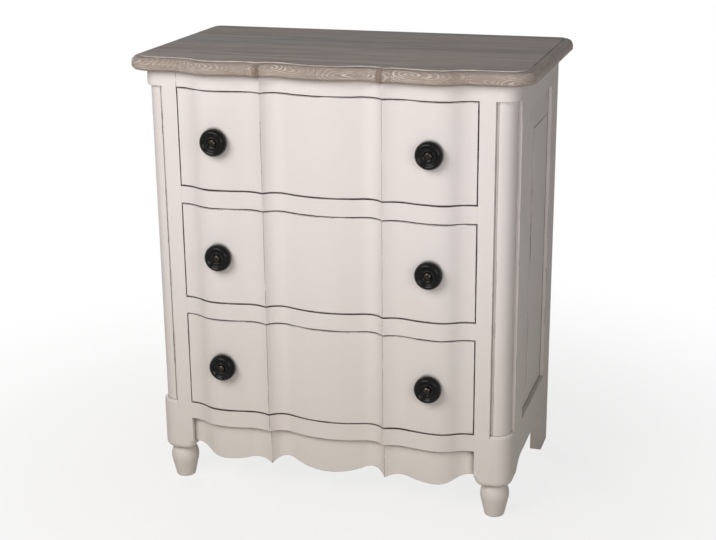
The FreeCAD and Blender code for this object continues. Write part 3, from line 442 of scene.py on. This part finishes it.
def inside_carcass(finish):
    """1 on faces that look into the carcass above the bottom rail, else 0."""
    painted_rim = 0.01
    soft_rim = 0.004
    x, y, z = finish.parts(finish.place)
    outward = finish.times(finish.math("SIGN", x), finish.parts(finish.facing)[0])
    looks_in = finish.step(outward, -LEANING, -SQUARE)
    rim_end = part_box("front_post_left")[0].y + painted_rim
    behind_rim = finish.step(y, rim_end, rim_end + soft_rim)
    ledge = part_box("bottom_front_rail")[0].z
    above_rail = finish.step(z, ledge, ledge + soft_rim / 2)
    return finish.times(finish.times(looks_in, behind_rim), above_rail)


def never(finish):
    """Nothing of the piece is left unpainted."""
    return 0.0


def sound_paint(finish, settings, brush):
    """Cream with soft rosy clouds, painted shade that darkens and warms it towards the floor, and
    faint brush marks.
    """
    cloud = finish.step(finish.noise((5, 5, 3), detail=2), 0.35, 0.7)
    clean = finish.blend(cloud, settings.cream, settings.rosy)
    # Painted shade: darker, warmer cream towards the floor.
    floor_shade = finish.step(finish.parts(finish.place)[2], settings.shade_from, 0)
    shaded = finish.blend(floor_shade, clean, settings.shaded)
    streak = finish.step(brush, 0.3, 0.75, at_full=settings.brush_share)
    return finish.blend(streak, shaded, settings.rosy, "MULTIPLY")


def wear(finish, settings, rub_share, shade_and_glaze_share, shade_and_glaze_width):
    """How much of the paint is rubbed off, and how much dark glazing shows, with painted shade in
    inner corners too.
    """
    none_rubbed = 1.02
    all_rubbed = 0.6
    stretch_of_edge = finish.noise((23, 23, 17))
    ragged = finish.noise((420, 420, 420), detail=4, roughness=0.7)
    reach = finish.math("MULTIPLY_ADD", ragged, 0.5, stretch_of_edge)
    rubbed_from = none_rubbed + (all_rubbed - none_rubbed) * rub_share
    worn_stretch = finish.step(reach, rubbed_from, rubbed_from + 0.05)
    worn = finish.times(finish.edges(settings.rub_width), worn_stretch)
    uneven = finish.step(stretch_of_edge, 0.25, 0.6, at_start=0.55)
    # Painted shade: inner corners and gaps are darkened by ambient occlusion, as well as glazing.
    deep = finish.times(finish.crevice_shade(shade_and_glaze_width), shade_and_glaze_share)
    return worn, finish.math("MAXIMUM", worn, finish.times(deep, uneven))


def paint(scene, name, along, unpainted, rub_share=None, shade_and_glaze_share=None, shade_and_glaze_width=None):
    """Eggshell cream over dark glazing that shows on rubbed edges, and painted shade in inner
    corners.
    """
    settings = scene.chest_paint
    rub_share = rub_share or settings.rub_share
    shade_and_glaze_share = shade_and_glaze_share or settings.shade_and_glaze_share
    shade_and_glaze_width = shade_and_glaze_width or settings.shade_and_glaze_width
    finish = Finish(name)
    brush = finish.noise(lengthwise(along, 14, 620), detail=4, roughness=0.6)
    worn, glazed_and_shaded = wear(finish, settings, rub_share, shade_and_glaze_share, shade_and_glaze_width)
    painted = finish.blend(glazed_and_shaded, sound_paint(finish, settings, brush), settings.glaze_and_shade)
    rough = finish.step(worn, 0, 1, at_start=settings.gloss_spread, at_full=settings.worn_spread)
    wood, wood_rough, _ = growth(finish, scene.chest_bare_wood, along)
    bare = unpainted(finish)
    finish.set(
        base_color=finish.blend(bare, painted, wood),
        roughness=finish.step(bare, 0, 1, at_start=rough, at_full=wood_rough),
        specular_ior_level=settings.gloss,
    )
    finish.relief(finish.minus(brush, worn), settings.brush_depth, strength=0.6)
    return finish.material


def narrow_shade_and_glaze(settings):
    """Narrow lines of painted shade and glazing, for the paint by columns and panels."""
    return {"shade_and_glaze_share": settings.groove_shade_and_glaze_share, "shade_and_glaze_width": settings.groove_shade_and_glaze_width}


def plank_colour(finish, settings, fine):
    """Colour of the weathered boards from above, and how open their joints and pores are."""
    grain_shift = 7
    board_contrast = 0.22
    x, y, z = finish.parts(finish.place)
    across = finish.math("DIVIDE", y, settings.plank_width)
    own = finish.pick(finish.math("FLOOR", across))
    shift = finish.times(own, grain_shift)
    grain = finish.vector(finish.plus(x, shift), finish.plus(y, shift), z)
    broad = finish.noise((2.1, 30, 30), detail=5, roughness=0.6, distortion=0.4, place=grain)
    tone = finish.math("MULTIPLY_ADD", finish.minus(own, 0.5), board_contrast, broad)
    coloured = finish.blend(finish.step(tone, 0.43, 0.6), settings.brown, settings.grey)
    cloud = finish.noise((3, 9, 9), place=grain)
    vein = finish.noise((4, 150, 150), detail=4, roughness=0.6, place=grain)
    for share_of_tint, tint in (
        (finish.step(cloud, 0.45, 0.68, at_full=0.6), settings.dark),
        (finish.step(vein, 0.5, 0.64, at_full=0.8), settings.dark),
        (finish.step(fine, 0.48, 0.72, at_full=0.9), settings.silver),
    ):
        coloured = finish.blend(share_of_tint, coloured, tint)
    pores = finish.noise((26, 1300, 1300), roughness=0.7, place=grain)
    open_pores = finish.times(finish.step(pores, 0.55, 0.7), 0.55)
    off_middle = finish.absolute(finish.minus(finish.math("FRACT", across), 0.5))
    opened = finish.math("MAXIMUM", open_pores, finish.step(off_middle, 0.488, 0.498))
    return finish.blend(finish.times(opened, 0.7), coloured, settings.dark), opened


def block_rings(finish, settings, own, middle):
    """How pale the oval growth rings of a glued block are, strongest at its middle."""
    oval_height = 0.022
    height_spread = 0.012
    waviness = 0.012
    low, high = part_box("top_board")
    rise = finish.minus(finish.parts(finish.place)[2], (low.z + high.z) / 2)
    rise = finish.math("MULTIPLY_ADD", own, height_spread, rise)
    oval = finish.far_from_axis(finish.times(middle, oval_height), rise)
    warp = finish.noise((16, 16, 45), detail=2)
    out = finish.math("MULTIPLY_ADD", warp, waviness, oval)
    ring = finish.math("SINE", finish.times(out, 2 * pi / settings.ring_gap))
    patch = finish.step(finish.noise((45, 45, 160), detail=2), 0.35, 0.6, at_start=0.25)
    inner = finish.step(finish.absolute(middle), 0.6, 0.15, at_start=0.3)
    return finish.times(finish.step(ring, 0.2, 1), finish.times(patch, inner))


def moulding_colour(finish, settings, fine):
    """Colour of the moulded edge: glued blocks, each with its own oval growth rings."""
    sideways_spread = -0.7
    x = finish.parts(finish.place)[0]
    block = finish.math("DIVIDE", x, settings.block_length)
    own = finish.minus(finish.pick(finish.math("FLOOR", block)), 0.5)
    along = finish.minus(finish.math("FRACT", block), 0.5)
    middle = finish.math("MULTIPLY_ADD", own, sideways_spread, along)
    coloured = finish.blend(finish.plus(own, 0.3), settings.edge_brown, settings.brown)
    off_filler = finish.absolute(finish.minus(finish.absolute(x), settings.filler_at))
    half = settings.filler_width / 2
    for share_of_tint, tint in (
        (finish.step(fine, 0.45, 0.8, at_full=0.5), settings.edge_pale),
        (block_rings(finish, settings, own, middle), settings.edge_pale),
        (finish.step(off_filler, half, half - 0.001, at_full=0.6), settings.filler),
        (finish.step(finish.absolute(along), 0.49, 0.5, at_full=0.4), settings.dark),
    ):
        coloured = finish.blend(share_of_tint, coloured, tint)
    return coloured


def rim_highlight_and_rub(finish, settings, upward, fine):
    """How pale the step along the rim and the outer edges are, as painted highlight and rubbed
    wood, in broken lines.
    """
    blur = 0.0002
    step_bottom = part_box("top_board")[1].z - settings.lip_height
    height = finish.parts(finish.place)[2]
    on_step = finish.step(height, step_bottom - blur, step_bottom + blur)
    on_step = finish.times(on_step, finish.step(upward, 0.5, 0.2))
    rim = finish.math("MAXIMUM", on_step, finish.times(finish.edges(settings.rub_width), 0.5))
    by_grain = finish.step(fine, 0.3, 0.5, at_start=0.4)
    by_patch = finish.step(finish.noise((40, 40, 40)), 0.4, 0.6, at_start=0.4)
    return finish.times(rim, finish.times(by_grain, by_patch))


def planks(settings, name):
    """Weathered boards side by side above, and growth rings along the moulded edge."""
    finish = Finish(name)
    x_facing, _, z_facing = finish.parts(finish.facing)
    along = finish.noise((7, 420, 420), detail=5, roughness=0.65)
    at_end = finish.noise((420, 12, 420), detail=5, roughness=0.65)
    looks_sideways = finish.step(finish.absolute(x_facing), 0.6, 0.9)
    fine = finish.step(looks_sideways, 0, 1, at_start=along, at_full=at_end)
    above, opened = plank_colour(finish, settings, fine)
    upward = finish.absolute(z_facing)
    flat = finish.step(upward, 0.8, 0.97)
    coloured = finish.blend(flat, moulding_colour(finish, settings, fine), above)
    # Painted highlight with rubbing: the rim's step and outer edges turn pale.
    rubbed = rim_highlight_and_rub(finish, settings, upward, fine)
    rough = finish.step(fine, 0.2, 0.8, at_start=settings.smoothest, at_full=settings.roughest)
    finish.set(
        base_color=finish.blend(rubbed, coloured, settings.lip_highlight_and_rub),
        roughness=rough,
        specular_ior_level=settings.gloss,
    )
    height = finish.minus(fine, opened)
    finish.relief(height, settings.grain_depth, strength=0.8, eased_by=0.001)
    return finish.material


def knob_lacquer(settings):
    """Deep black lacquer with a little brown rubbed through on the rim."""
    finish = Finish("knob_lacquer")
    patch = finish.noise((160, 160, 160), detail=4)
    rubbed = finish.times(finish.edges(settings.rub_width), finish.step(patch, 0.42, 0.6))
    rough = finish.step(patch, 0.3, 0.7, at_start=settings.smoothest, at_full=settings.roughest)
    finish.set(
        base_color=finish.blend(rubbed, settings.black, settings.rubbed),
        roughness=rough,
        specular_ior_level=settings.gloss,
    )
    finish.relief(finish.noise((900, 900, 900)), settings.speck_depth, strength=0.5)
    return finish.material


def bolt_metal(settings):
    """Blackened steel with duller tarnish in soft patches."""
    finish = Finish("bolt_metal")
    patch = finish.noise((700, 700, 700))
    tarnished = [part * settings.tarnish for part in settings.metal]
    coloured = finish.blend(finish.step(patch, 0.35, 0.7), settings.metal, tarnished)
    rough = finish.step(
        patch, 0.3, 0.7, at_start=settings.metal_smoothest, at_full=settings.metal_roughest
    )
    finish.set(base_color=coloured, metallic=1.0, roughness=rough)
    finish.relief(patch, settings.pit_depth, strength=0.5)
    return finish.material


def clothe(nodes, material):
    """Give carried-over nodes a material of their own."""
    for name in nodes:
        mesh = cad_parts[name].data
        mesh.materials.clear()
        mesh.materials.append(material)


# Turned pieces


def arc(centre, radius, start, end, steps):
    """Points (out, along) on a round stretch of a turned outline, with angles in degrees."""
    turn = [radians(start + (end - start) * step / steps) for step in range(steps + 1)]
    return [(centre[0] + radius * cos(t), centre[1] + radius * sin(t)) for t in turn]


def smooth(points, steps):
    """A flowing line through a few points, with a number of steps between each two."""
    ends = [points[0], *points, points[-1]]
    line = []
    for before, start, end, after in zip(ends, ends[1:], ends[2:], ends[3:]):
        for step in range(steps):
            t = step / steps
            line.append(
                tuple(
                    b + t * (c - a) / 2 + t**2 * (a - 2.5 * b + 2 * c - d / 2)
                    + t**3 * (1.5 * (b - c) + (d - a) / 2)
                    for a, b, c, d in zip(before, start, end, after)
                )
            )
    return [*line, points[-1]]


def turned_piece(name, outline, place, axis, steps):
    """A lathed mesh from an outline of (out, along) points round an axis."""
    same_point = 1e-6
    sharp_angle = 40
    mesh = bpy.data.meshes.new(name)
    shape = bmesh.new()
    points = [shape.verts.new((out, 0, along)) for out, along in outline]
    edges = [shape.edges.new(pair) for pair in zip(points, points[1:])]
    bmesh.ops.spin(
        shape,
        geom=points + edges,
        cent=(0, 0, 0),
        axis=(0, 0, 1),
        angle=2 * pi,
        steps=steps,
    )
    bmesh.ops.remove_doubles(shape, verts=shape.verts, dist=same_point)
    bmesh.ops.recalc_face_normals(shape, faces=shape.faces)
    turn = Vector((0, 0, 1)).rotation_difference(Vector(axis)).to_matrix().to_4x4()
    bmesh.ops.transform(shape, matrix=Matrix.Translation(place) @ turn, verts=shape.verts)
    shape.to_mesh(mesh)
    shape.free()
    for face in mesh.polygons:
        face.use_smooth = True
    mesh.set_sharp_from_angle(angle=radians(sharp_angle))
    piece = bpy.data.objects.new(name, mesh)
    bpy.context.scene.collection.objects.link(piece)
    return piece


def foot_outline(settings, top):
    """Toe, shank, bulb and neck of a foot, from the floor up to the post."""
    rounding = settings.toe_round
    toe = arc((settings.toe - rounding, rounding), rounding, start=-90, end=-10, steps=5)
    body = smooth(
        [
            toe[-1],
            (settings.shank, settings.shank_at),
            (settings.bulb, settings.bulb_at),
            (settings.shoulder, settings.shoulder_at),
            (settings.neck, top - settings.neck_height),
        ],
        steps=7,
    )
    return [(0, 0), *toe, *body[1:], (settings.neck, top)]


def knob_outline(settings, reach, radius):
    """Neck, back, wall, rim and dished middle of a knob, as radii and distances from its seat."""
    dish = reach - settings.dish_depth
    well = dish - settings.well_depth
    neck_end = (settings.neck, settings.neck_length)
    flare = [(radius * 0.9, 0.0042), (radius - 0.0003, 0.0062)]
    wall = [(radius, settings.widest_at), (radius * 0.995, 0.0115), (radius * 0.955, 0.0148)]
    rim = [(radius * 0.87, reach - 0.001), (radius * 0.78, reach), (radius * 0.69, reach - 0.0007)]
    into_dish = [(radius * 0.6, dish + 0.0005), (radius * 0.54, dish)]
    body = smooth([neck_end, *flare, *wall, *rim, *into_dish], steps=5)
    bead = arc((settings.ring, dish), settings.bead, start=0, end=180, steps=6)
    return [(0, 0), (settings.neck, 0), *body, *bead, (settings.ring * 0.8, well), (0, well)]


# Operators


class CHEST_OT_top_board(bpy.types.Operator):
    """Finish the moulded top in weathered planks"""

    bl_idname = "chest.top_board"
    bl_label = "Top board"

    def execute(self, context):
        clothe(["top_board"], planks(context.scene.chest_planks, "weathered_planks"))
        return {"FINISHED"}


class CHEST_OT_posts(bpy.types.Operator):
    """Paint the posts and their quarter columns"""

    bl_idname = "chest.posts"
    bl_label = "Posts and columns"

    def execute(self, context):
        # Narrow painted shade with glazing in the grooves beside the quarter columns.
        thin = narrow_shade_and_glaze(context.scene.chest_paint)
        upright = paint(context.scene, "paint_upright", "Z", inside_carcass, **thin)
        kinds = ("front_post", "rear_post", "quarter_column")
        clothe([f"{kind}_{side}" for kind in kinds for side in SIDES], upright)
        return {"FINISHED"}


class CHEST_OT_rails(bpy.types.Operator):
    """Paint the front rails and the scalloped apron"""

    bl_idname = "chest.rails"
    bl_label = "Rails and apron"

    def execute(self, context):
        settings = context.scene.chest_paint
        # Painted shade with glazing in the rails' and apron's inner corners, and a painted shadow
        # under the bottom rail.
        worn = settings.front_rub_share
        deep = settings.front_shade_and_glaze_share
        wide = settings.apron_shade_and_glaze_width
        level = paint(context.scene, "paint_level", "X", behind_front, shade_and_glaze_share=deep)
        under_rail = paint(context.scene, "paint_apron", "X", behind_front, worn, deep, wide)
        rails = ("bottom_front", "lower_divider", "upper_divider", "top_front")
        clothe([f"{kind}_rail" for kind in rails], level)
        clothe(["front_apron"], under_rail)
        return {"FINISHED"}


class CHEST_OT_side_frames(bpy.types.Operator):
    """Paint the framed and panelled sides"""

    bl_idname = "chest.side_frames"
    bl_label = "Side frames"

    def execute(self, context):
        # Narrow painted shade with glazing where the panels meet their frames.
        thin = narrow_shade_and_glaze(context.scene.chest_paint)
        upright = paint(context.scene, "paint_side_upright", "Z", inside_carcass, **thin)
        level = paint(context.scene, "paint_side_level", "Y", inside_carcass, **thin)
        for side in SIDES:
            clothe([f"side_front_stile_{side}", f"side_panel_{side}"], upright)
            clothe([f"side_bottom_rail_{side}", f"side_top_rail_{side}"], level)
        return {"FINISHED"}


class CHEST_OT_inside(bpy.types.Operator):
    """Give the back, runners, kickers and stops their bare wood"""

    bl_idname = "chest.inside"
    bl_label = "Back and runners"

    def execute(self, context):
        settings = context.scene.chest_bare_wood
        inward = bare_wood(settings, "bare_wood_lengthwise", "Y")
        sideways = bare_wood(settings, "bare_wood_sideways", "X")
        upright = bare_wood(settings, "bare_wood_upright", "Z")
        kinds = ("lower_runner", "middle_runner", "upper_runner", "kicker")
        clothe([f"{kind}_{side}" for kind in kinds for side in SIDES], inward)
        clothe(["back_top_rail", "back_bottom_rail", "drawer_stops"], sideways)
        clothe(["back_panel"], upright)
        return {"FINISHED"}


class CHEST_OT_drawers(bpy.types.Operator):
    """Paint the drawer fronts and give the drawer boxes their bare wood"""

    bl_idname = "chest.drawers"
    bl_label = "Drawers"

    def execute(self, context):
        settings = context.scene.chest_paint
        worn = settings.front_rub_share
        # Painted shade with glazing in the gaps round the drawer fronts.
        deep = settings.front_shade_and_glaze_share
        fronts = paint(context.scene, "paint_drawer_front", "X", behind_front, worn, deep)
        wood = context.scene.chest_bare_wood
        inward = bare_wood(wood, "drawer_side_wood", "Y")
        sideways = bare_wood(wood, "drawer_back_wood", "X")
        for level in LEVELS:
            clothe([f"{level}_drawer_front"], fronts)
            clothe([f"{level}_drawer_side_{side}" for side in SIDES], inward)
            clothe([f"{level}_drawer_back", f"{level}_drawer_bottom"], sideways)
        return {"FINISHED"}


class CHEST_OT_feet(bpy.types.Operator):
    """Turn the two front feet and paint them"""

    bl_idname = "chest.feet"
    bl_label = "Front feet"

    def execute(self, context):
        settings = context.scene.chest_feet
        painted = paint(context.scene, "paint_foot", "Z", never)
        for side in SIDES:
            node = f"front_foot_{side}"
            low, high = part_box(node)
            place = Vector(((low.x + high.x) / 2, (low.y + high.y) / 2, low.z))
            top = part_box(f"front_post_{side}")[0].z - low.z
            outline = foot_outline(settings, top)
            foot = turned_piece(f"turned_foot_{side}", outline, place, (0, 0, 1), settings.steps)
            foot.data.materials.append(painted)
            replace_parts(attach(foot, "carcass"), node)
        return {"FINISHED"}


class CHEST_OT_knobs(bpy.types.Operator):
    """Turn the knobs in black lacquer and give their bolts their blackened steel"""

    bl_idname = "chest.knobs"
    bl_label = "Knobs"

    def execute(self, context):
        settings = context.scene.chest_knobs
        lacquer = knob_lacquer(settings)
        metal = bolt_metal(settings)
        for level in LEVELS:
            for side in SIDES:
                node = f"{level}_drawer_knob_{side}"
                low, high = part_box(node)
                place = Vector(((low.x + high.x) / 2, high.y, (low.z + high.z) / 2))
                outline = knob_outline(settings, high.y - low.y, (high.x - low.x) / 2)
                knob = turned_piece(f"turned_{node}", outline, place, (0, -1, 0), settings.steps)
                knob.data.materials.append(lacquer)
                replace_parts(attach(knob, f"{level}_drawer"), node)
            clothe([f"{level}_drawer_knob_bolts"], metal)
        return {"FINISHED"}


def camera_turn(turn, tilt, roll):
    """Rotation of a camera that stands round to the right and looks down at the object."""
    back = Vector((sin(turn) * cos(tilt), -cos(turn) * cos(tilt), sin(tilt)))
    right = Vector((0, 0, 1)).cross(back).normalized()
    up = back.cross(right)
    leaned_right = cos(roll) * right + sin(roll) * up
    leaned_up = -sin(roll) * right + cos(roll) * up
    return Matrix((leaned_right, leaned_up, back)).transposed()


def put_camera(settings):
    """The camera where the photograph was taken from."""
    scene = bpy.context.scene
    camera = bpy.data.objects.new("camera", bpy.data.cameras.new("camera"))
    scene.collection.objects.link(camera)
    scene.camera = camera
    camera.data.lens = settings.focal
    camera.data.shift_x = settings.aside
    camera.data.shift_y = settings.above
    posts_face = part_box("front_post_left")[0].y
    place = settings.place + Vector((0, posts_face, 0))
    turned = camera_turn(settings.turn, settings.tilt, settings.roll).to_4x4()
    camera.matrix_world = Matrix.Translation(place) @ turned


def put_lamp(settings, kind):
    """An area lamp that points at the object and isn't seen itself."""
    name = f"{kind}_lamp"
    lamp = bpy.data.lights.new(name, "AREA")
    lamp.size = getattr(settings, f"{kind}_width")
    lamp.energy = getattr(settings, f"{kind}_power")
    holder = bpy.data.objects.new(name, lamp)
    holder.visible_camera = False
    bpy.context.scene.collection.objects.link(holder)
    place = getattr(settings, f"{kind}_place")
    sight = settings.aim - place
    turned = sight.to_track_quat("-Z", "Y").to_matrix().to_4x4()
    holder.matrix_world = Matrix.Translation(place) @ turned


def seen_directly(tree):
    """1 for rays from the camera, a gloss or a glass, which show the background, else 0."""
    path = tree.nodes.new("ShaderNodeLightPath")
    total = path.outputs["Is Camera Ray"]
    for name in ("Is Glossy Ray", "Is Transmission Ray"):
        node = tree.nodes.new("ShaderNodeMath")
        node.operation = "ADD"
        node.use_clamp = True
        tree.links.new(total, node.inputs[0])
        tree.links.new(path.outputs[name], node.inputs[1])
        total = node.outputs[0]
    return total


def light_room(settings):
    """A faint warm light from all round, behind a background that shows plain white."""
    world = bpy.data.worlds.new("studio")
    bpy.context.scene.world = world
    world.use_nodes = True
    tree = world.node_tree
    background = tree.nodes["Background"]
    shown = seen_directly(tree)
    tint = tree.nodes.new("ShaderNodeMix")
    tint.data_type = "RGBA"
    tree.links.new(shown, tint.inputs[0])
    tint.inputs[6].default_value = (*(part * settings.around for part in settings.warmth), 1)
    tint.inputs[7].default_value = (1, 1, 1, 1)
    tree.links.new(tint.outputs[2], background.inputs["Color"])


def floor_finish(settings):
    """A pale matt floor that fades to plain white away from the object."""
    finish = Finish("studio_floor")
    speckle = finish.step(finish.noise((300, 300, 300), detail=2), 0.3, 0.7, at_full=0.02)
    ground = finish.blend(speckle, settings.floor_cream, settings.floor_speck)
    finish.set(base_color=ground, roughness=0.9)
    distance = finish.add("VectorMath", operation="LENGTH")
    finish.feed(distance.inputs[0], finish.place)
    far = finish.step(
        distance.outputs["Value"],
        settings.fade_from,
        settings.fade_to,
        at_start=settings.near_white,
    )
    glow = finish.add("Emission")
    finish.feed(glow.inputs["Color"], (1, 1, 1))
    both = finish.add("MixShader")
    finish.feed(both.inputs[0], finish.times(far, seen_directly(finish.tree)))
    finish.feed(both.inputs[1], finish.surface.outputs[0])
    finish.feed(both.inputs[2], glow.outputs[0])
    finish.feed(finish.tree.nodes["Material Output"].inputs["Surface"], both.outputs[0])
    return finish.material


def lay_floor(settings):
    """A round floor."""
    mesh = bpy.data.meshes.new("floor")
    shape = bmesh.new()
    bmesh.ops.create_circle(shape, cap_ends=True, radius=settings.floor_reach, segments=64)
    shape.to_mesh(mesh)
    shape.free()
    mesh.materials.append(floor_finish(settings))
    floor = bpy.data.objects.new("floor", mesh)
    bpy.context.scene.collection.objects.link(floor)


class CHEST_OT_stage(bpy.types.Operator):
    """Build the camera, the floor and the lamps"""

    bl_idname = "chest.stage"
    bl_label = "Camera and studio"

    def execute(self, context):
        scene = context.scene
        scene.view_settings.view_transform = "Standard"
        put_camera(scene.chest_camera)
        lay_floor(scene.chest_studio)
        light_room(scene.chest_studio)
        for kind in ("key", "fill", "back"):
            put_lamp(scene.chest_studio, kind)
        return {"FINISHED"}


OPERATORS = (
    CHEST_OT_top_board,
    CHEST_OT_posts,
    CHEST_OT_rails,
    CHEST_OT_side_frames,
    CHEST_OT_inside,
    CHEST_OT_drawers,
    CHEST_OT_knobs,
    CHEST_OT_feet,
    CHEST_OT_stage,
)


class CHEST_PT_build(bpy.types.Panel):
    """Lists the steps that dress the chest"""

    bl_idname = "CHEST_PT_build"
    bl_label = "Chest of drawers"
    bl_space_type = "VIEW_3D"
    bl_region_type = "UI"
    bl_category = "Chest"

    def draw(self, context):
        for operator in OPERATORS:
            self.layout.operator(operator.bl_idname)
        for name in SETTINGS:
            group = getattr(context.scene, name)
            box = self.layout.box()
            for setting in group.bl_rna.properties:
                if setting.identifier not in ("rna_type", "name"):
                    box.prop(group, setting.identifier)


SETTINGS = {
    "chest_paint": PaintSettings,
    "chest_planks": PlankSettings,
    "chest_bare_wood": BareWoodSettings,
    "chest_knobs": KnobSettings,
    "chest_feet": FootSettings,
    "chest_camera": CameraSettings,
    "chest_studio": StudioSettings,
}


def register():
    for name, group in SETTINGS.items():
        bpy.utils.register_class(group)
        setattr(bpy.types.Scene, name, PointerProperty(type=group))
    for operator in OPERATORS:
        bpy.utils.register_class(operator)
    bpy.utils.register_class(CHEST_PT_build)


def unregister():
    bpy.utils.unregister_class(CHEST_PT_build)
    for operator in reversed(OPERATORS):
        bpy.utils.unregister_class(operator)
    for name, group in SETTINGS.items():
        delattr(bpy.types.Scene, name)
        bpy.utils.unregister_class(group)


def main():
    """Register the steps and dress the chest with them."""
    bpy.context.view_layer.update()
    register()
    for operator in OPERATORS:
        group, step = operator.bl_idname.split(".")
        getattr(getattr(bpy.ops, group), step)()


if __name__ == "__main__":
    main()
